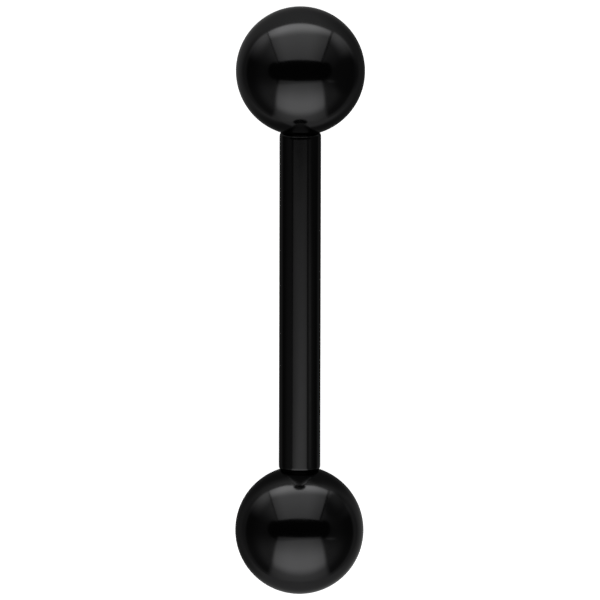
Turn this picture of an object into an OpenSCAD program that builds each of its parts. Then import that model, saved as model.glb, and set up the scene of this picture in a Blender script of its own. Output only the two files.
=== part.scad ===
// Micro barbell for a piercing: a straight round bar with a ball screwed into each end.
// It is the internally threaded kind. Each ball carries a short threaded post, and the post sits in
// a blind bore in the end of the bar, so that nothing but smooth bar passes through the skin.
// The barbell lies on its side with both balls on the surface. X runs along the bar and Z is up.
// The origin is on that surface, straight below the middle of the bar. Sizes are in millimetres.

/* [Bar] */
// Diameter of the bar
bar_d = 1.29; // [1.28:0.01:1.6]
// Length of the bar between its two end faces
bar_l = 10.58; // [6:0.02:16]
// How far the polished edge of an end face reaches along the bar
edge_l = 0.12; // [0.05:0.01:0.2]
// How far the polished edge falls in towards the axis
edge_drop = 0.04; // [0.02:0.005:0.05]

/* [Balls] */
// Diameter of each ball
ball_d = 4; // [3:0.1:5]
// Narrowest gap between a ball and the end of the bar
seat_gap = 0.01; // [0.01:0.005:0.03]

/* [Posts and bores] */
// Diameter over the thread of each post
post_d = 0.88; // [0.8:0.02:0.9]
// Length of each post, from the end face of the bar inwards
post_l = 2.4; // [1.5:0.1:2.6]
// Width of the chamfer on the tip of each post
post_chamfer = 0.1; // [0.05:0.01:0.15]
// Gap all round each post in its bore
post_gap = 0.03; // [0.02:0.005:0.04]
// Room at the bottom of each bore, beyond the tip of the post
bore_room = 0.3; // [0.1:0.1:0.4]
// Width of the countersink at the mouth of each bore
mouth_chamfer = 0.11; // [0.03:0.01:0.12]

/* [Hidden] */
$fn = 96;

// The black finish as it looks in plain light
finish = [0.055, 0.055, 0.06];

ball_r = ball_d / 2;
bar_r = bar_d / 2;
post_r = post_d / 2;
bore_r = post_r + post_gap;
bore_l = post_l + bore_room;
mouth_r = bore_r + mouth_chamfer;

// The rim of the bore's mouth is what comes closest to the ball, so it sets where the ball sits
ball_x = bar_l / 2 + seat_gap + sqrt(pow(ball_r, 2) - pow(mouth_r, 2));

// The polished edge is one arc, tangent to the side of the bar, and this is its radius
edge_r = (pow(edge_l, 2) + pow(edge_drop, 2)) / (2 * edge_drop);

// How far a cutter reaches past the face that it cuts
past = 0.5;

// Turns what was made along Z so that its top points out through one end of the barbell
module towards_end(side) {
    translate([0, 0, ball_r]) rotate([0, side * 90, 0]) children();
}

// A rectangle as wide as the bar is long, less trim at each end, that rises from the axis to height
module span(trim, height) {
    translate([trim - bar_l / 2, 0]) square([bar_l - 2 * trim, height]);
}

// Half of the bar's lengthwise section, with the axis along the bottom
module bar_outline() {
    intersection() {
        span(0, bar_r);
        union() {
            span(edge_l, bar_r);
            span(0, bar_r - edge_r);
            for (side = [-1, 1])
                translate([side * (bar_l / 2 - edge_l), bar_r - edge_r]) circle(r = edge_r);
        }
    }
}

// What is drilled out of an end of the bar, whose end face is at z = 0: a bore and its countersink
module bore_cutter() {
    translate([0, 0, -bore_l]) cylinder(r = bore_r, h = bore_l + past);
    translate([0, 0, -mouth_chamfer])
        cylinder(r1 = bore_r, r2 = bore_r + 2 * mouth_chamfer, h = 2 * mouth_chamfer);
}

module bar() {
    color(finish) difference() {
        towards_end(1) rotate_extrude() mirror([1, -1]) bar_outline();
        for (side = [-1, 1]) towards_end(side) translate([0, 0, bar_l / 2]) bore_cutter();
    }
}

// A ball and its post, which are turned from one rod
module screw_ball(side) {
    tip = bar_l / 2 - post_l;
    color(finish) towards_end(side) {
        translate([0, 0, ball_x]) sphere(r = ball_r);
        translate([0, 0, tip + post_chamfer]) cylinder(r = post_r, h = ball_x - tip - post_chamfer);
        translate([0, 0, tip]) cylinder(r1 = post_r - post_chamfer, r2 = post_r, h = post_chamfer);
    }
}

module ball_1() { screw_ball(1); }

module ball_2() { screw_ball(-1); }

bar();
ball_1();
ball_2();
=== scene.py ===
# %% [markdown]
# # A black micro barbell
# A micro barbell is a small piece of body jewellery: a straight bar that goes through a healed
# piercing, with a ball at each end. This one is surgical steel with a black PVD coating, a layer of
# ceramic about a thousandth of a millimetre thick, laid down in a vacuum chamber.
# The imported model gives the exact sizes, so it is loaded first and never moved. Everything that is
# made here sits in the same frame, in metres, and takes the place of one of its solids.

# %% Load the frame
import math

import bmesh
import bpy
from mathutils import Matrix, Vector


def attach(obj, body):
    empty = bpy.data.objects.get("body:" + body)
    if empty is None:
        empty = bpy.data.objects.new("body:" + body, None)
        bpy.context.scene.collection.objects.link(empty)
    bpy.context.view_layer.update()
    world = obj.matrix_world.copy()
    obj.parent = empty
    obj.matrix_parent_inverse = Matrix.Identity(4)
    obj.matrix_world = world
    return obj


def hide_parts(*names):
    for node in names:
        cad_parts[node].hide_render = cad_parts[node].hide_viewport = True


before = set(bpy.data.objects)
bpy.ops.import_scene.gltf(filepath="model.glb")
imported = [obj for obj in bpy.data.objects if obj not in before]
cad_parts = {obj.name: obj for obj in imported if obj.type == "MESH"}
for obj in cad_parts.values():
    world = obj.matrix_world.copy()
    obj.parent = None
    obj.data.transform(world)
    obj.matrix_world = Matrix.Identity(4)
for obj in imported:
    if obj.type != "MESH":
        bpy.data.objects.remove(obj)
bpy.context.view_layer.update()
MM = 0.001

# %% [markdown]
# ## Sizes
# The barbell is 18.4 mm long, so every size is written in millimetres and turned into metres at the
# end. The sizes are those of the solids.

# %% Sizes of the bar and the balls
BALL_R = 2.0
BAR_R = 0.645
BAR_END = 5.29  # the bar's end face, from the middle
MOUTH_R = 0.58  # the countersink at the mouth of the bore
SEAT_GAP = 0.01  # narrowest gap between that mouth and the ball
POST_TIP = 2.89  # the tip of each post, from the middle
BALL_X = BAR_END + SEAT_GAP + math.sqrt(BALL_R**2 - MOUTH_R**2)
AXIS_Z = BALL_R  # the balls rest on the floor, so their radius is the height of the axis

# %% [markdown]
# ## The camera
# The photograph looks almost straight down on the barbell, from a little towards the upper ball. The
# dark slot across each ball tells how much: it is the gap between the lamps that the lens looks
# through, so a mirror ball shows it around the line back to the camera. The two balls differ in size
# by less than one per cent, so the lens was about 300 mm away.
# The focal length then follows from how far apart the balls are in the picture, and a small turn of
# the aim puts the middle between them where it is in the photograph.

# %% Place the camera
PICTURE = 600  # width and height of the picture, in pixels
SENSOR = 36.0
DISTANCE = 300.0
TILT = math.radians(9.3)  # from straight above, towards ball_1
ROLL = math.radians(0.137)  # the barbell leans this much to the right in the picture
APART = 458.87  # pixels between the centres of the balls
MIDDLE = Vector((299.93, 300.4))  # pixel half way between them

eye = Vector((math.sin(TILT), 0, math.cos(TILT))) * DISTANCE + Vector((0, 0, AXIS_Z))
ball_centres = [Vector((side * BALL_X, 0, AXIS_Z)) for side in (1, -1)]


def aim_at(target):
    """Rotation of a camera at the eye that looks at target, with +X up in the picture."""
    back = (eye - target).normalized()
    right = Vector((1, 0, 0)).cross(back).normalized()
    turn = Matrix((right, back.cross(right), back)).transposed()
    return turn @ Matrix.Rotation(ROLL, 3, "Z")


def pixel(point, turn, focal):
    """Where a point in millimetres lands in the picture, with focal in pixels."""
    seen = turn.transposed() @ (point - eye)
    return Vector((PICTURE / 2 - focal * seen.x / seen.z, PICTURE / 2 + focal * seen.y / seen.z))


# A first guess of both, which each round brings closer
target, focal = Vector((0, 0, AXIS_Z)), 9000.0
for _ in range(6):
    turn = aim_at(target)
    top, bottom = (pixel(c, turn, focal) for c in ball_centres)
    focal *= APART / (top - bottom).length
    off = (top + bottom) / 2 - MIDDLE
    target += turn @ Vector((off.x, -off.y, 0)) * (DISTANCE / focal)

camera = bpy.data.objects.new("camera", bpy.data.cameras.new("camera"))
bpy.context.scene.collection.objects.link(camera)
camera.matrix_world = Matrix.Translation(eye * MM) @ turn.to_4x4()
camera.data.sensor_width = SENSOR
camera.data.lens = focal * SENSOR / PICTURE
camera.data.clip_start, camera.data.clip_end = 0.01, 5.0
bpy.context.scene.camera = camera
print("lens", round(camera.data.lens, 1), "mm, ball centres at", tuple(top), tuple(bottom))

# %% [markdown]
# ## Nodes and colours
# Every material here is built from nodes, and adding a node is always the same three steps: make it,
# set its options, and give each input a value or a link. One small function does that.
# Colours are written as the hex values that a colour picker shows. Those are sRGB, and shaders work
# in linear light, so one function converts them.

# %% Helpers for materials
def add(tree, kind, inputs=None, **options):
    """Adds a node. Each input is given a value, or the output socket that feeds it."""
    node = tree.nodes.new(kind)
    for name, value in options.items():
        setattr(node, name, value)
    for key, value in (inputs or {}).items():
        if isinstance(value, bpy.types.NodeSocket):
            tree.links.new(value, node.inputs[key])
        else:
            node.inputs[key].default_value = value
    return node


def from_hex(code):
    """Linear RGBA of an sRGB hex colour such as #808080."""
    parts = [int(code[i : i + 2], 16) / 255 for i in (1, 3, 5)]
    return (*[c / 12.92 if c <= 0.04045 else ((c + 0.055) / 1.055) ** 2.4 for c in parts], 1.0)


def new_material(name):
    """An empty material with its output node, as (material, tree, output)."""
    material = bpy.data.materials.new(name)
    material.use_nodes = True
    material.node_tree.nodes.clear()
    return material, material.node_tree, add(material.node_tree, "ShaderNodeOutputMaterial")


def link_object(name, bm, *materials):
    """Makes an object in metres from a bmesh in millimetres that has the barbell's axis at height 0."""
    bmesh.ops.translate(bm, vec=(0, 0, AXIS_Z), verts=bm.verts)
    bmesh.ops.scale(bm, vec=(MM, MM, MM), verts=bm.verts)
    mesh = bpy.data.meshes.new(name)
    bm.to_mesh(mesh)
    bm.free()
    obj = bpy.data.objects.new(name, mesh)
    bpy.context.scene.collection.objects.link(obj)
    for material in materials:
        mesh.materials.append(material)
    return obj


print("#808080 is", round(from_hex("#808080")[0], 3), "in linear light")

# %% [markdown]
# ## The floor
# The photograph's background is pure white without a shadow, as on a light table: a sheet of white
# acrylic lit from below. So the floor glows almost white by itself, and the lamps add the rest of
# its light. Only that rest can be shaded, which leaves a faint soft shadow under the barbell.
# The sheet bends up at its rim, far outside the picture, so that a low camera sees no horizon.
# It is made as a bowl: the last point of its outline is spun through a quarter circle, and then the
# whole outline is spun all the way round.
# In the photograph the underside of each ball mirrors a dark table and not a white one. So mirror
# rays pass through this floor, and meet the table that is made with the lamps.

# %% Make the floor
FLAT, SWEEP, RIM = 1600.0, 400.0, 100.0  # flat radius, radius of the bend, height of the rim above it
FLOOR_GLOW = 0.95  # how bright the sheet is by itself, where white is 1

bm = bmesh.new()
centre = bm.verts.new((0, 0, 0))
edge = bmesh.ops.extrude_vert_indiv(bm, verts=[centre])["verts"]
bmesh.ops.translate(bm, vec=(FLAT, 0, 0), verts=edge)
bend = bmesh.ops.spin(bm, geom=edge, cent=(FLAT, 0, SWEEP), axis=(0, 1, 0), angle=-math.pi / 2, steps=12)
last = [v for v in bend["geom_last"] if isinstance(v, bmesh.types.BMVert)]
rim = bmesh.ops.extrude_vert_indiv(bm, verts=last)["verts"]
bmesh.ops.translate(bm, vec=(0, 0, RIM), verts=rim)
bmesh.ops.spin(bm, geom=bm.verts[:] + bm.edges[:], cent=(0, 0, 0), axis=(0, 0, 1), angle=2 * math.pi,
               steps=96, use_merge=True)
bmesh.ops.remove_doubles(bm, verts=bm.verts, dist=0.001)
bmesh.ops.recalc_face_normals(bm, faces=bm.faces)
# A bowl is open, so its faces may all point downwards after that, and the middle one shows it
if min(bm.faces, key=lambda f: f.calc_center_median().length).normal.z < 0:
    bmesh.ops.reverse_faces(bm, faces=bm.faces)
bmesh.ops.translate(bm, vec=(0, 0, -AXIS_Z), verts=bm.verts)

acrylic, tree, output = new_material("white_acrylic")
glow = add(tree, "ShaderNodeBsdfPrincipled", {
    "Base Color": from_hex("#e8e8e8"), "Roughness": 0.6,
    "Emission Color": from_hex("#ffffff"), "Emission Strength": FLOOR_GLOW})
tree.links.new(glow.outputs[0], output.inputs[0])
acrylic.cycles.emission_sampling = "NONE"

floor = link_object("floor", bm, acrylic)
floor.data.shade_smooth()
floor.visible_glossy = False
floor.visible_shadow = False
lowest = min(v.co.z for v in floor.data.vertices)
print("floor:", len(floor.data.polygons), "faces, lowest point", round(lowest / MM, 4), "mm")

# %% [markdown]
# ## The lamps
# A polished black surface has hardly any colour of its own. What the eye sees on it is the room, so
# the lamps are half of this picture. Jewellery like this is lit through sheets of diffusing cloth,
# bent around it as a small tent with a slot at the top for the lens.
# Each sheet is a straight edge swept along an arc, which is one spin. Its cloth is an emission
# shader: how bright it is at each spot is worked out from the spot's own place, in millimetres from
# the middle of the barbell. None of the sheets is seen by the camera itself.
# Mostly a Map Range node turns a place into a strength. Its inputs 1 and 2 are where a change starts
# and ends, and 3 and 4 are the strengths there. The strengths are those of one cloth to another, and
# one value sets them all against the floor.

# %% Helpers for the lamps
POWER = 0.69  # how bright a cloth of strength 1 is, where the white floor is 1
SMOOTH = {"interpolation_type": "SMOOTHSTEP"}  # makes a Map Range start and end gently


def cloth(name):
    """An empty material, and the place on it in mm from the middle, as (material, tree, X, Y, Z)."""
    material, tree, _ = new_material(name)
    place = add(tree, "ShaderNodeTexCoord")
    centred = add(tree, "ShaderNodeMapping", {"Vector": place.outputs["Object"], "Scale": (1 / MM,) * 3,
                                              "Location": (0, 0, -AXIS_Z)})
    axes = add(tree, "ShaderNodeSeparateXYZ", {"Vector": centred.outputs[0]})
    return material, tree, axes.outputs["X"], axes.outputs["Y"], axes.outputs["Z"]


def hang(name, bm, material, strength, cover=1.0):
    """A lamp that the camera doesn't see. Where cover is below 1, light passes through it."""
    tree = material.node_tree
    glow = add(tree, "ShaderNodeEmission", {"Color": (POWER, POWER, POWER, 1), "Strength": strength})
    clear = add(tree, "ShaderNodeBsdfTransparent")
    mixed = add(tree, "ShaderNodeMixShader", {"Fac": cover, 1: clear.outputs[0], 2: glow.outputs[0]})
    tree.links.new(mixed.outputs[0], tree.get_output_node("ALL").inputs[0])
    lamp = link_object(name, bm, material)
    lamp.visible_camera = False
    corners = [v.co / MM for v in lamp.data.vertices]
    low, high = ([round(pick(c[i] for c in corners)) for i in range(3)] for pick in (min, max))
    print(name, "reaches from", low, "to", high, "mm")
    return lamp


def bent_sheet(start, pivot, turn, y_from, y_to, steps=24):
    """A sheet swept from an edge along Y at start (X, Z) around pivot (X, Z)."""
    bm = bmesh.new()
    ends = [bm.verts.new((start[0], y, start[1])) for y in (y_from, y_to)]
    line = bm.edges.new(ends)
    bmesh.ops.spin(bm, geom=ends + [line], cent=(pivot[0], 0, pivot[1]), axis=(0, 1, 0),
                   angle=math.radians(turn), steps=steps)
    return bm


# %% [markdown]
# ### The upper sheet
# It hangs on the side of ball_1, from beside the lens down to below the barbell. A lamp behind its
# lower half makes a hot band there, which is the brightest thing that the balls mirror. The band and
# the hem of the sheet both sag towards the sides, so heights are measured from that sag. The lamp
# stands a little to the left of the middle, and the cloth is dimmer far to either side of it.

# %% Hang the upper sheet
UPPER_START, UPPER_PIVOT = (117.0, 209.0), (-321.0, -107.0)  # X and Z
UPPER_TURN, UPPER_SIDES = 38.0, (-172.0, 188.0)  # degrees around the pivot, and the side edges' Y
LAMP_Y = 22.0
HOT_FROM, HOT_FULL, HOT_LIGHT = 56.0, -14.0, 2.6  # heights of the hot band, and what it adds
SAG = 0.0015  # the band and the hem lie lower towards the sides, by this many times the square of Y
HEM, HEM_SOFT = -41.0, 9.0  # height at which the sheet ends, and half the height of that soft end

material, tree, x, y, z = cloth("upper_cloth")
aside = add(tree, "ShaderNodeMath", {0: y, 1: LAMP_Y}, operation="SUBTRACT")
square = add(tree, "ShaderNodeMath", {0: aside.outputs[0], 1: aside.outputs[0]}, operation="MULTIPLY")
height = add(tree, "ShaderNodeMath", {0: square.outputs[0], 1: SAG, 2: z}, operation="MULTIPLY_ADD")
plain = add(tree, "ShaderNodeMapRange", {0: z, 1: 230.0, 2: 40.0, 3: 0.85, 4: 1.45})
hot = add(tree, "ShaderNodeMapRange", {0: height.outputs[0], 1: HOT_FROM, 2: HOT_FULL, 3: 0.0,
                                       4: HOT_LIGHT}, **SMOOTH)
both = add(tree, "ShaderNodeMath", {0: plain.outputs[0], 1: hot.outputs[0]})
away = add(tree, "ShaderNodeMath", {0: aside.outputs[0]}, operation="ABSOLUTE")
fade = add(tree, "ShaderNodeMapRange", {0: away.outputs[0], 1: 60.0, 2: 190.0, 3: 1.0, 4: 0.6}, **SMOOTH)
strength = add(tree, "ShaderNodeMath", {0: both.outputs[0], 1: fade.outputs[0]}, operation="MULTIPLY")

square = add(tree, "ShaderNodeMath", {0: y, 1: y}, operation="MULTIPLY")
height = add(tree, "ShaderNodeMath", {0: square.outputs[0], 1: SAG, 2: z}, operation="MULTIPLY_ADD")
cover = add(tree, "ShaderNodeMapRange", {0: height.outputs[0], 1: HEM - HEM_SOFT, 2: HEM + HEM_SOFT,
                                         3: 0.0, 4: 1.0}, **SMOOTH)
hang("upper_sheet", bent_sheet(UPPER_START, UPPER_PIVOT, UPPER_TURN, *UPPER_SIDES), material,
     strength.outputs[0], cover.outputs[0])

# %% [markdown]
# ### The lower sheet
# The sheet on the side of ball_2 is smaller and hangs closer. It is brightest half way down, and its
# last part is in the shade of the lamp's housing, which the balls mirror as a grey band. It narrows
# downwards, and the cloth is thin at its side edges, so these are soft.
# Its upper edge, beside the slot, is hemmed. The cloth is doubled there and lets less light through,
# so away from the slot it brightens in two steps: at the edge itself, which bows a little, and at
# the seam of the hem, which slants away on the left.

# %% Hang the lower sheet
LOWER_START, LOWER_PIVOT = (-10.0, 118.0), (112.0, -87.0)  # X and Z
LOWER_TURN, LOWER_SIDES = -47.8, (-104.0, 104.0)
EDGE_FROM, EDGE_FULL, EDGE_LIGHT = -11.8, -15.4, 0.58  # X of the edge, and its share of the light
SEAM_FROM, SEAM_FULL, SEAM_LIGHT = -18.0, -23.5, 0.44
BOW = 0.0003  # edge and seam lie farther from the slot at the sides, by this times the square of Y
SLANT = 0.1  # on the left the seam lies farther from the slot, by this much of the way to the left

material, tree, x, y, z = cloth("lower_cloth")
square = add(tree, "ShaderNodeMath", {0: y, 1: y}, operation="MULTIPLY")
bow = add(tree, "ShaderNodeMath", {0: square.outputs[0], 1: BOW, 2: x}, operation="MULTIPLY_ADD")
edge = add(tree, "ShaderNodeMapRange", {0: bow.outputs[0], 1: EDGE_FROM, 2: EDGE_FULL, 3: 0.0,
                                        4: EDGE_LIGHT}, **SMOOTH)
left = add(tree, "ShaderNodeMath", {0: y, 1: 0.0}, operation="MAXIMUM")
slant = add(tree, "ShaderNodeMath", {0: left.outputs[0], 1: SLANT, 2: bow.outputs[0]},
            operation="MULTIPLY_ADD")
seam = add(tree, "ShaderNodeMapRange", {0: slant.outputs[0], 1: SEAM_FROM, 2: SEAM_FULL, 3: 0.0,
                                        4: SEAM_LIGHT}, **SMOOTH)
near = add(tree, "ShaderNodeMath", {0: edge.outputs[0], 1: seam.outputs[0]})

# Lighter down to half way, then the housing's shade, and the dim end of the cloth below it
rise = add(tree, "ShaderNodeMapRange", {0: z, 1: 120.0, 2: 58.0, 3: 0.88, 4: 2.3}, **SMOOTH)
shade = add(tree, "ShaderNodeMapRange", {0: z, 1: 46.0, 2: 10.0, 3: 1.0, 4: 0.36}, **SMOOTH)
last = add(tree, "ShaderNodeMapRange", {0: z, 1: 10.0, 2: -30.0, 3: 1.0, 4: 0.7})
away = add(tree, "ShaderNodeMath", {0: y}, operation="ABSOLUTE")
fade = add(tree, "ShaderNodeMapRange", {0: away.outputs[0], 1: 20.0, 2: 90.0, 3: 1.0, 4: 0.7}, **SMOOTH)
strength = rise
for share in (near, shade, last, fade):
    strength = add(tree, "ShaderNodeMath", {0: strength.outputs[0], 1: share.outputs[0]},
                   operation="MULTIPLY")

# How far a spot is past half the width that the sheet has at this height
half = add(tree, "ShaderNodeMapRange", {0: z, 1: 105.0, 2: 30.0, 3: 93.0, 4: 76.0})
past = add(tree, "ShaderNodeMath", {0: away.outputs[0], 1: half.outputs[0]}, operation="SUBTRACT")
cover = add(tree, "ShaderNodeMapRange", {0: past.outputs[0], 1: -14.0, 2: 6.0, 3: 1.0, 4: 0.0}, **SMOOTH)
hang("lower_sheet", bent_sheet(LOWER_START, LOWER_PIVOT, LOWER_TURN, *LOWER_SIDES), material,
     strength.outputs[0], cover.outputs[0])

# %% [markdown]
# ### The side walls
# The tent's two side walls have no lamp behind them. The light that they catch from the sheets is
# painted on them as a glow, most of it near the foot of the upper one and a little at the rear and
# along the bottom. The right one also has a narrow painted lighter patch beside the lens. A narrow
# gap is left between a wall and the upper sheet, and the balls show it as a thin dark line.
# Each wall is cut out in a curve where the slot for the lens meets it, which rounds the ends of the
# slot. The cut and the patch are both ellipses, so one function measures a place against an ellipse.

# %% Helpers for flat pieces
def flat_sheet(width, height, middle, upright=True):
    """A rectangle around middle, with its height along Z, or along Y where it isn't upright."""
    bm = bmesh.new()
    bmesh.ops.create_grid(bm, x_segments=1, y_segments=1, size=0.5)
    bmesh.ops.scale(bm, vec=(width, height, 1), verts=bm.verts)
    if upright:
        bmesh.ops.rotate(bm, cent=(0, 0, 0), matrix=Matrix.Rotation(math.pi / 2, 3, "X"), verts=bm.verts)
    bmesh.ops.translate(bm, vec=middle, verts=bm.verts)
    return bm


def in_ellipse(tree, across, up, middle, half):
    """How far a place is from the middle of an ellipse, as a socket. It is 1 on the outline."""
    place = add(tree, "ShaderNodeCombineXYZ", {"X": across, "Y": up})
    place = add(tree, "ShaderNodeVectorMath", {0: place.outputs[0], 1: (*middle, 0)}, operation="SUBTRACT")
    place = add(tree, "ShaderNodeVectorMath", {0: place.outputs[0], 1: (*half, 1)}, operation="DIVIDE")
    return add(tree, "ShaderNodeVectorMath", {0: place.outputs[0]}, operation="LENGTH").outputs["Value"]


# %% Hang the side walls
WALL_R = 536.0  # a wall ends this far from the upper sheet's pivot, 4 mm short of that sheet
WALL_SIZE, WALL_MIDDLE = (545, 332), (-57, 43)  # along X and Z, as are the ellipses
CUT_MIDDLE, CUT_HALF = (34.0, 205.0), (70.0, 90.0)
PATCH_MIDDLE, PATCH_HALF = (-38.5, 122.0), (9.0, 68.0)
FOOT_REACH = 150.0  # along X, from the start of the light at the foot to where it is full

# Each wall's Y, the X where the painted light at its foot starts, what is left of that light high up,
# and the strengths of the painted light at the rear, in the patch and along the bottom
WALLS = (
    ("left_wall", 195.0, 35.0, 0.27, 0.25, 0.0, 0.15),
    ("right_wall", -185.0, 25.0, 0.13, 0.23, 0.32, 0.22),
)

for name, wall_y, foot_from, foot_high, rear_full, patch_full, low_full in WALLS:
    material, tree, x, y, z = cloth(name + "_cloth")
    across = add(tree, "ShaderNodeCombineXYZ", {"X": x, "Y": z})
    reach = add(tree, "ShaderNodeVectorMath", {0: across.outputs[0], 1: (*UPPER_PIVOT, 0)},
                operation="DISTANCE")
    inside = add(tree, "ShaderNodeMath", {0: reach.outputs["Value"], 1: WALL_R}, operation="LESS_THAN")
    cut = in_ellipse(tree, x, z, CUT_MIDDLE, CUT_HALF)
    whole = add(tree, "ShaderNodeMapRange", {0: cut, 1: 0.85, 2: 1.15, 3: 0.0, 4: 1.0}, **SMOOTH)
    cover = add(tree, "ShaderNodeMath", {0: inside.outputs[0], 1: whole.outputs[0]}, operation="MULTIPLY")

    # The light that the wall catches is painted into its glow: at the foot, at the rear, in the patch and
    # along the bottom
    along = add(tree, "ShaderNodeMapRange", {0: x, 1: foot_from, 2: foot_from + FOOT_REACH,
                                             3: 0.0, 4: 1.3}, **SMOOTH)
    down = add(tree, "ShaderNodeMapRange", {0: z, 1: 50.0, 2: -65.0, 3: foot_high, 4: 1.0}, **SMOOTH)
    end = add(tree, "ShaderNodeMapRange", {0: z, 1: -86.0, 2: -114.0, 3: 1.0, 4: 0.2}, **SMOOTH)
    foot = add(tree, "ShaderNodeMath", {0: along.outputs[0], 1: down.outputs[0]}, operation="MULTIPLY")
    foot = add(tree, "ShaderNodeMath", {0: foot.outputs[0], 1: end.outputs[0]}, operation="MULTIPLY")
    back = add(tree, "ShaderNodeMapRange", {0: x, 1: 0.0, 2: -130.0, 3: 0.045, 4: rear_full}, **SMOOTH)
    lift = add(tree, "ShaderNodeMapRange", {0: z, 1: -30.0, 2: 80.0, 3: 0.25, 4: 1.0}, **SMOOTH)
    rear = add(tree, "ShaderNodeMath", {0: back.outputs[0], 1: lift.outputs[0]}, operation="MULTIPLY")
    spot = in_ellipse(tree, x, z, PATCH_MIDDLE, PATCH_HALF)
    patch = add(tree, "ShaderNodeMapRange", {0: spot, 1: 0.2, 2: 1.0, 3: patch_full, 4: 0.0}, **SMOOTH)
    low = add(tree, "ShaderNodeMapRange", {0: z, 1: -65.0, 2: -95.0, 3: 0.035, 4: low_full}, **SMOOTH)
    strength = foot
    for light in (rear, patch, low):
        strength = add(tree, "ShaderNodeMath", {0: strength.outputs[0], 1: light.outputs[0]})
    hang(name, flat_sheet(*WALL_SIZE, (WALL_MIDDLE[0], wall_y, WALL_MIDDLE[1])), material,
         strength.outputs[0], cover.outputs[0])

# %% [markdown]
# ### The table
# The tent stands on a dark table, well below the acrylic sheet. The light that it catches from the
# two sheets is painted on it as a glow, lightest towards them and dark towards the walls. Only the
# direction from the middle counts for that, and the square of its X part is 1 towards a sheet and 0
# towards a wall.

# %% Make the table
TABLE_Z, TABLE_R = -130.0, 900.0
TABLE_DARK, TABLE_LIGHT = 0.17, 0.64  # towards the walls, and towards the sheets

material, tree, x, y, z = cloth("table_top")
place = add(tree, "ShaderNodeCombineXYZ", {"X": x, "Y": y})
towards = add(tree, "ShaderNodeVectorMath", {0: place.outputs[0]}, operation="NORMALIZE")
along = add(tree, "ShaderNodeSeparateXYZ", {"Vector": towards.outputs[0]})
square = add(tree, "ShaderNodeMath", {0: along.outputs["X"], 1: along.outputs["X"]}, operation="MULTIPLY")
# Painted light from the sheets, by the direction from the middle
strength = add(tree, "ShaderNodeMapRange", {0: square.outputs[0], 3: TABLE_DARK, 4: TABLE_LIGHT})

bm = bmesh.new()
bmesh.ops.create_circle(bm, cap_ends=True, radius=TABLE_R, segments=64)
bmesh.ops.translate(bm, vec=(0, 0, TABLE_Z), verts=bm.verts)
hang("table_top", bm, material, strength.outputs[0])

# %% [markdown]
# ### The board
# A narrow board carries the acrylic sheet right under the barbell. Its glow is painted light beyond
# both ends of the barbell, with a painted shadow of the barbell between them, and the balls mirror
# that painted shadow beside the bar. The painted shadow leans a little, because the sheets don't hang
# quite square. The board's end under the upper sheet also cuts the hot band off from below, but only
# for ball_2, which is farther away.
# Its edge is soft, as an edge that the lens doesn't focus on is in a photograph.

# %% Lay the board
BOARD_Z = -3.0 - AXIS_Z  # the acrylic sheet is 3 mm thick
BOARD_MIDDLE, BOARD_HALF = (-12.5, 0.0), (48.5, 11.0)  # along X and Y
BOARD_ROUND, BOARD_SOFT = 8.6, 5.0  # radius of its corners, and width of its soft edge
LEAN = 0.8  # the shade moves along X by this much of the way to the side

material, tree, x, y, z = cloth("board_painted_light_and_shadow")
away = add(tree, "ShaderNodeMath", {0: y}, operation="ABSOLUTE")
lean = add(tree, "ShaderNodeMath", {0: y, 1: LEAN, 2: x}, operation="MULTIPLY_ADD")
front = add(tree, "ShaderNodeMapRange", {0: lean.outputs[0], 1: 2.0, 2: 16.0, 3: 0.0, 4: 1.0}, **SMOOTH)
back = add(tree, "ShaderNodeMapRange", {0: lean.outputs[0], 1: -6.0, 2: -13.0, 3: 0.0, 4: 1.0}, **SMOOTH)
ends = add(tree, "ShaderNodeMath", {0: front.outputs[0], 1: back.outputs[0]})
# A painted shadow of the barbell: darkest beside the bar, a little lighter farther out
painted_shadow = add(tree, "ShaderNodeMapRange", {0: away.outputs[0], 1: 3.5, 2: 9.5, 3: 0.12, 4: 0.28}, **SMOOTH)
# Painted light beyond the barbell's ends, a little dimmer towards the sides
painted_light = add(tree, "ShaderNodeMapRange", {0: away.outputs[0], 1: 1.0, 2: 10.0, 3: 0.58, 4: 0.5}, **SMOOTH)
strength = add(tree, "ShaderNodeMix", {0: ends.outputs[0], 2: painted_shadow.outputs[0], 3: painted_light.outputs[0]})

# How far a spot is past the straight part of the board, whose corners are rounded
straight_part = [half - BOARD_ROUND for half in BOARD_HALF]
place = add(tree, "ShaderNodeCombineXYZ", {"X": x, "Y": y})
place = add(tree, "ShaderNodeVectorMath", {0: place.outputs[0], 1: (*BOARD_MIDDLE, 0)},
            operation="SUBTRACT")
place = add(tree, "ShaderNodeVectorMath", {0: place.outputs[0]}, operation="ABSOLUTE")
place = add(tree, "ShaderNodeVectorMath", {0: place.outputs[0], 1: (*straight_part, 0)},
            operation="SUBTRACT")
place = add(tree, "ShaderNodeVectorMath", {0: place.outputs[0]}, operation="MAXIMUM")
past = add(tree, "ShaderNodeVectorMath", {0: place.outputs[0]}, operation="LENGTH")
cover = add(tree, "ShaderNodeMapRange", {0: past.outputs["Value"], 1: BOARD_ROUND - BOARD_SOFT,
                                         2: BOARD_ROUND, 3: 1.0, 4: 0.0}, **SMOOTH)
board_size = [2 * half for half in BOARD_HALF]
hang("board", flat_sheet(*board_size, (*BOARD_MIDDLE, BOARD_Z), upright=False), material,
     strength.outputs[0], cover.outputs[0])

# %% [markdown]
# ### The black card
# In ball_2 the right-hand wall is all but missing: a black card stands beside the barbell and hides
# it. The card is near, so ball_1 sees it in another place, where the wall is dark anyway. It is thin,
# and a faint painted glow stands for the light that it catches, so what it hides doesn't turn quite
# black. It is too small to shade anything, so only mirror rays meet it.

# %% Stand the black card
CARD_MIDDLE, CARD_HALF = (5.5, 0.5), (9.5, 14.0)  # along X and Z
CARD_Y = -17.0
# CARD_LIGHT is a faint painted glow for the light that the card catches
CARD_LIGHT, CARD_COVER = 0.06, 0.8  # what it gives off, and the share of the light that it stops

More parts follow.
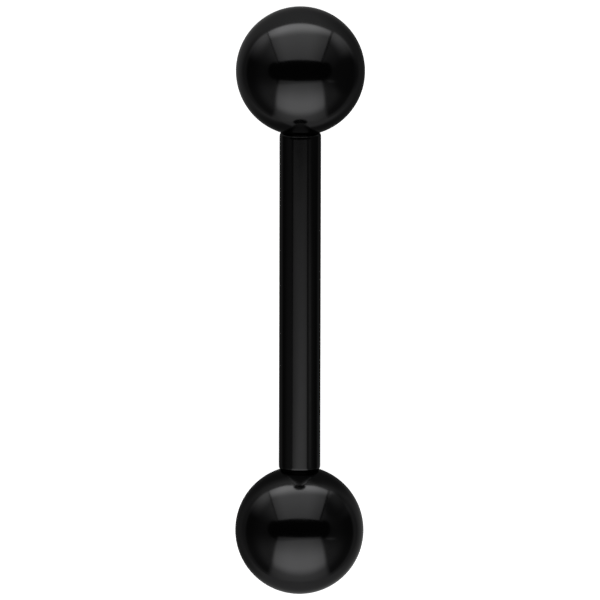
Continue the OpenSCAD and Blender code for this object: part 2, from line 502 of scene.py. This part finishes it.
material, tree, x, y, z = cloth("black_card")
past = in_ellipse(tree, x, z, CARD_MIDDLE, CARD_HALF)
cover = add(tree, "ShaderNodeMapRange", {0: past, 1: 0.55, 2: 1.0, 3: CARD_COVER, 4: 0.0}, **SMOOTH)
card_size = [2 * half for half in CARD_HALF]
card = hang("black_card", flat_sheet(*card_size, (CARD_MIDDLE[0], CARD_Y, CARD_MIDDLE[1])), material,
            CARD_LIGHT, cover.outputs[0])
card.visible_diffuse = False
card.visible_shadow = False

# %% [markdown]
# ### What is left
# Behind all this is a dark room, which fills the slot. The plain view transform keeps white white.

# %% Darken the room
world = bpy.data.worlds.new("dark_room")
bpy.context.scene.world = world
world.use_nodes = True
world.node_tree.nodes["Background"].inputs["Color"].default_value = from_hex("#1e1e1e")
bpy.context.scene.view_settings.view_transform = "Standard"
print("view transform:", bpy.context.scene.view_settings.view_transform)

# %% [markdown]
# ## The finishes
# PVD is laid down on steel that is already polished, so it is as smooth as what is under it. The
# outside was polished to a mirror. The threads, the bores and the end faces were only turned, and
# nobody polishes those, so they are duller and carry the rings that the cutting tool left.
# A black ceramic soaks up light at every angle. A metal in Blender turns to a white mirror at its rim
# unless Specular Tint says otherwise, so that is set to grey.
# The polished finish comes first. It shows the room as a black mirror does, in dark but clear
# pictures, and only a little colour, haze and roll tell it from black glass.

# %% Mirror-polished black PVD
EDGE_GREY = from_hex("#c4c4c4")
CLEAR, HAZY = 0.1, 0.135  # roughness at the clearest and at the haziest spots
ROLL_HEIGHT = 0.0006

polished, tree, output = new_material("black_pvd_polished")
place = add(tree, "ShaderNodeTexCoord").outputs["Object"]
shader = add(tree, "ShaderNodeBsdfPrincipled", {"Metallic": 1.0, "Specular Tint": EDGE_GREY})
tree.links.new(shader.outputs[0], output.inputs[0])

# The layer's thickness drifts a little over a millimetre or so, which tints the black very slightly
drift = add(tree, "ShaderNodeTexNoise", {"Vector": place, "Scale": 1 / (1.6 * MM), "Detail": 3.0})
tint = add(tree, "ShaderNodeMix", {0: drift.outputs["Fac"], 6: from_hex("#3e3e3e"), 7: from_hex("#404041")},
           data_type="RGBA")
tree.links.new(tint.outputs[2], shader.inputs["Base Color"])

# Haze from the last polishing step comes in patches of a few tenths of a millimetre
haze = add(tree, "ShaderNodeTexNoise", {"Vector": place, "Scale": 1 / (0.35 * MM), "Detail": 5.0})
gloss = add(tree, "ShaderNodeMapRange", {0: haze.outputs["Fac"], 1: 0.3, 2: 0.7, 3: CLEAR, 4: HAZY})
tree.links.new(gloss.outputs[0], shader.inputs["Roughness"])

# A mirror finish still rolls very slightly, by a fraction of a micrometre, and the long lines that it
# mirrors show it
roll = add(tree, "ShaderNodeTexNoise", {"Vector": place, "Scale": 1 / (0.9 * MM), "Detail": 2.0})
wave = add(tree, "ShaderNodeBump", {"Height": roll.outputs["Fac"], "Strength": 1.0,
                                    "Distance": ROLL_HEIGHT * MM})
tree.links.new(wave.outputs[0], shader.inputs["Normal"])
print("polished finish:", len(tree.nodes), "nodes")

# %% [markdown]
# ### As it left the lathe
# The turned finish uses rings around the barbell's axis. Real ones are as far apart as the tool moved
# in a turn, about 0.02 mm, and that is also what is drawn here. They blur what the surface mirrors,
# and a fine grain makes the black uneven.

# %% As-turned black PVD
RING_STEP, RING_DEPTH = 0.02, 0.001
WAVE_TURN = 20  # radians that the Wave texture's phase turns in one unit, at a scale of 1

turned, tree, output = new_material("black_pvd_as_turned")
place = add(tree, "ShaderNodeTexCoord").outputs["Object"]
shader = add(tree, "ShaderNodeBsdfPrincipled", {"Metallic": 1.0, "Specular Tint": EDGE_GREY})
tree.links.new(shader.outputs[0], output.inputs[0])
centred = add(tree, "ShaderNodeMapping", {"Vector": place, "Location": (0, 0, -AXIS_Z * MM)})
rings = add(tree, "ShaderNodeTexWave", {
    "Vector": centred.outputs[0], "Scale": 2 * math.pi / (WAVE_TURN * RING_STEP * MM),
    "Distortion": 1.5, "Detail": 2.0, "Detail Scale": 0.4}, wave_type="RINGS", rings_direction="X")
grain = add(tree, "ShaderNodeTexNoise", {"Vector": place, "Scale": 1 / (0.06 * MM), "Detail": 4.0})
tone = add(tree, "ShaderNodeMix", {0: grain.outputs["Fac"], 6: from_hex("#2e2e2e"), 7: from_hex("#3d3d3d")},
           data_type="RGBA")
tree.links.new(tone.outputs[2], shader.inputs["Base Color"])
gloss = add(tree, "ShaderNodeMapRange", {0: rings.outputs["Fac"], 3: 0.26, 4: 0.4})
tree.links.new(gloss.outputs[0], shader.inputs["Roughness"])
marks = add(tree, "ShaderNodeBump", {"Height": rings.outputs["Fac"], "Strength": 0.5,
                                     "Distance": RING_DEPTH * MM})
tree.links.new(marks.outputs[0], shader.inputs["Normal"])
print("turned finish:", len(tree.nodes), "nodes")

# %% [markdown]
# ## Turning a part
# The bar and the balls are made on a lathe, and so are these. An outline is drawn point by point
# above the axis: a straight cut extrudes the last point, and a rounded one spins it around the centre
# of its arc. Then the whole outline is spun once around the axis.

# %% Helpers that draw and turn an outline
AROUND = 128  # steps around the axis
WELD = 0.00005  # points closer together than this, in millimetres, become one
CREASE = math.radians(28)  # an edge sharper than this is drawn as an edge, and the rest smooth


def straight(bm, last, x, r):
    """A straight cut from the last point of the outline to x and r."""
    point = bmesh.ops.extrude_vert_indiv(bm, verts=[last])["verts"][0]
    point.co = (x, 0, r)
    return point


def rounded(bm, last, x, r, degrees, steps):
    """A rounded cut: the last point goes around the centre at x and r, from +Z towards +X."""
    made = bmesh.ops.spin(bm, geom=[last], cent=(x, 0, r), axis=(0, 1, 0), angle=math.radians(degrees),
                          steps=steps)
    return next(v for v in made["geom_last"] if isinstance(v, bmesh.types.BMVert))


def turn_outline(bm):
    """Spins the outline that was drawn into a solid of revolution."""
    bmesh.ops.spin(bm, geom=bm.verts[:] + bm.edges[:], cent=(0, 0, 0), axis=(1, 0, 0), angle=2 * math.pi,
                   steps=AROUND, use_merge=True)


def finish_part(name, bm, node, is_turned):
    """Closes the seams, turns the faces outwards, and puts the part in its solid's place."""
    bmesh.ops.remove_doubles(bm, verts=bm.verts, dist=WELD)
    bmesh.ops.dissolve_degenerate(bm, edges=bm.edges, dist=WELD)
    bmesh.ops.recalc_face_normals(bm, faces=bm.faces)
    for face in bm.faces:
        face.smooth = True
        face.material_index = 1 if is_turned(face.calc_center_median()) else 0
    loose = sum(not e.is_manifold for e in bm.edges)
    volume = round(bm.calc_volume(signed=True), 2)
    print(name, "faces", len(bm.faces), "open edges", loose, "volume", volume, "mm3")
    obj = link_object(name, bm, polished, turned)
    obj.data.set_sharp_from_angle(angle=CREASE)
    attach(obj, node)
    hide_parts(node)


facet = BALL_R * (1 - math.cos(math.pi / AROUND))
print("with", AROUND, "steps a ball is round within", round(facet, 4), "mm")

# %% [markdown]
# ## Cutting a thread
# A thread is the same zigzag line all the way round, moved along by one pitch in a full turn. Spin
# does both at once, because it can shift its copies as it turns them. After one turn the line lands
# on its own next groove, so merging doubles closes the surface.
# Its two ends are still ragged. Every point that lies past an end is brought back onto a plain ring
# there, so that the thread runs out into the neck as a real one does.

# %% A helper that cuts a thread
PITCH = 0.225  # about that of an M0.9 screw, which suits a bar of this gauge
CREST_FLAT = PITCH / 8
FLANK_ANGLE = math.radians(30)  # from square to the axis, so the two flanks stand 60 degrees apart
AT_END = 0.0001  # a point this close to an end, in millimetres, counts as at that end


def thread(bm, x_from, x_to, root, crest, ring_from, ring_to, limit):
    """A right-hand thread between two rings. limit gives the largest radius at each x."""
    flank = abs(crest - root) * math.tan(FLANK_ANGLE)
    marks = ((0, root), (PITCH - 2 * flank - CREST_FLAT, root), (PITCH - flank - CREST_FLAT, crest),
             (PITCH - flank, crest))
    own = bmesh.new()
    turns = math.ceil((x_to - x_from) / PITCH) + 2
    line = [own.verts.new((x_from + (n - 1) * PITCH + dx, 0, r))
            for n in range(turns + 1) for dx, r in marks]
    geom = line + [own.edges.new(pair) for pair in zip(line, line[1:])]
    bmesh.ops.spin(own, geom=geom, cent=(0, 0, 0), axis=(1, 0, 0), angle=2 * math.pi, steps=AROUND,
                   dvec=(PITCH / AROUND, 0, 0))
    for v in own.verts:
        r = math.hypot(v.co.y, v.co.z)
        x = x_from if v.co.x < x_from + AT_END else x_to if v.co.x > x_to - AT_END else v.co.x
        wanted = ring_from if x == x_from else ring_to if x == x_to else min(r, limit(x))
        v.co = (x, v.co.y * wanted / r, v.co.z * wanted / r)
    bmesh.ops.remove_doubles(own, verts=own.verts, dist=WELD)
    made = bpy.data.meshes.new("thread")
    own.to_mesh(made)
    own.free()
    bm.from_mesh(made)
    bpy.data.meshes.remove(made)


print("thread:", PITCH, "mm pitch, crest", round(CREST_FLAT, 3), "mm wide")

# %% [markdown]
# ## The bar
# The bar is ground and polished rod. Each end is faced off square, its edge is rounded by hand so
# that it can't scratch the piercing, and a bore is drilled, countersunk and tapped for the ball.
# Both ends are the same, so one half is drawn and turned, and a mirror makes the other. The thread is
# cut after that, because a mirrored thread would turn the wrong way.

# %% Turn the bar
EDGE_L, EDGE_DROP = 0.12, 0.04  # how far the rounded edge reaches along the bar and towards the axis
EDGE_R = (EDGE_L**2 + EDGE_DROP**2) / (2 * EDGE_DROP)
EDGE_SWEEP, EDGE_STEPS = math.degrees(math.asin(EDGE_L / EDGE_R)), 8
TAP_MINOR, TAP_MAJOR = 0.455, 0.53  # the bore's thread, as radii
TAP_END = BAR_END - (MOUTH_R - TAP_MINOR)  # the countersink meets the thread here
TAP_START, DRILL_END = 2.81, 2.59  # from the middle: where the thread and the straight wall start
DRILL_TIP = DRILL_END - TAP_MINOR * math.tan(math.radians(31))  # a drill's point is 118 degrees

bm = bmesh.new()
point = bm.verts.new((0, 0, BAR_R))
# The last rings are close together, which keeps the side's shading straight up to the rounded edge
for x in (BAR_END * 0.5, BAR_END * 0.9, BAR_END - EDGE_L - 0.02, BAR_END - EDGE_L):
    point = straight(bm, point, x, BAR_R)
point = rounded(bm, point, BAR_END - EDGE_L, BAR_R - EDGE_R, EDGE_SWEEP, EDGE_STEPS)
point = straight(bm, point, BAR_END, MOUTH_R)
straight(bm, point, TAP_END, TAP_MINOR)
point = bm.verts.new((TAP_START, 0, TAP_MINOR))
point = straight(bm, point, DRILL_END, TAP_MINOR)
straight(bm, point, DRILL_TIP, 0)
turn_outline(bm)
bmesh.ops.mirror(bm, geom=bm.verts[:] + bm.edges[:] + bm.faces[:], axis="X", merge_dist=WELD)
for start, end in ((TAP_START, TAP_END), (-TAP_END, -TAP_START)):
    thread(bm, start, end, TAP_MAJOR, TAP_MINOR, TAP_MINOR, TAP_MINOR, lambda x: TAP_MAJOR)

FACE_R = BAR_R - EDGE_DROP - 0.001  # all that is nearer the axis than this was turned, not polished
finish_part("bar_polished", bm, "bar", lambda c: math.hypot(c.y, c.z) < FACE_R)

# %% [markdown]
# ## The balls
# Each ball is turned from one rod together with its post, so it has no seam. A narrow neck is left
# between the ball and the thread, where the threading tool runs out, and the tip is chamfered so that
# it finds the bore. The sphere is one arc of the outline, from the far pole to the neck.

# %% Turn the balls
POST_R, NECK_R, POST_ROOT = 0.44, 0.32, 0.32  # over the thread, of the neck, between the threads
NECK_END, TIP_CHAMFER = 4.92, 0.1  # where the neck meets the thread, from the middle
SEAT_X = BALL_X - math.sqrt(BALL_R**2 - NECK_R**2)  # where the sphere meets the neck
BALL_SWEEP, BALL_STEPS = 180 - math.degrees(math.asin(NECK_R / BALL_R)), 72

for name, side in (("ball_1", 1), ("ball_2", -1)):
    bm = bmesh.new()
    pole = bm.verts.new((BALL_X + BALL_R, 0, 0))
    point = rounded(bm, pole, BALL_X, 0, -BALL_SWEEP, BALL_STEPS)
    straight(bm, point, NECK_END, NECK_R)
    point = bm.verts.new((POST_TIP, 0, POST_ROOT))
    straight(bm, point, POST_TIP, 0)
    turn_outline(bm)
    if side < 0:
        bmesh.ops.rotate(bm, cent=(0, 0, 0), matrix=Matrix.Rotation(math.pi, 3, "Z"), verts=bm.verts)
    low, high = sorted((side * POST_TIP, side * NECK_END))
    thread(bm, low, high, POST_ROOT, POST_R, POST_ROOT, NECK_R,
           lambda x: POST_R - TIP_CHAMFER + abs(x) - POST_TIP)
    finish_part(name + "_polished", bm, name, lambda c: abs(c.x) < SEAT_X)
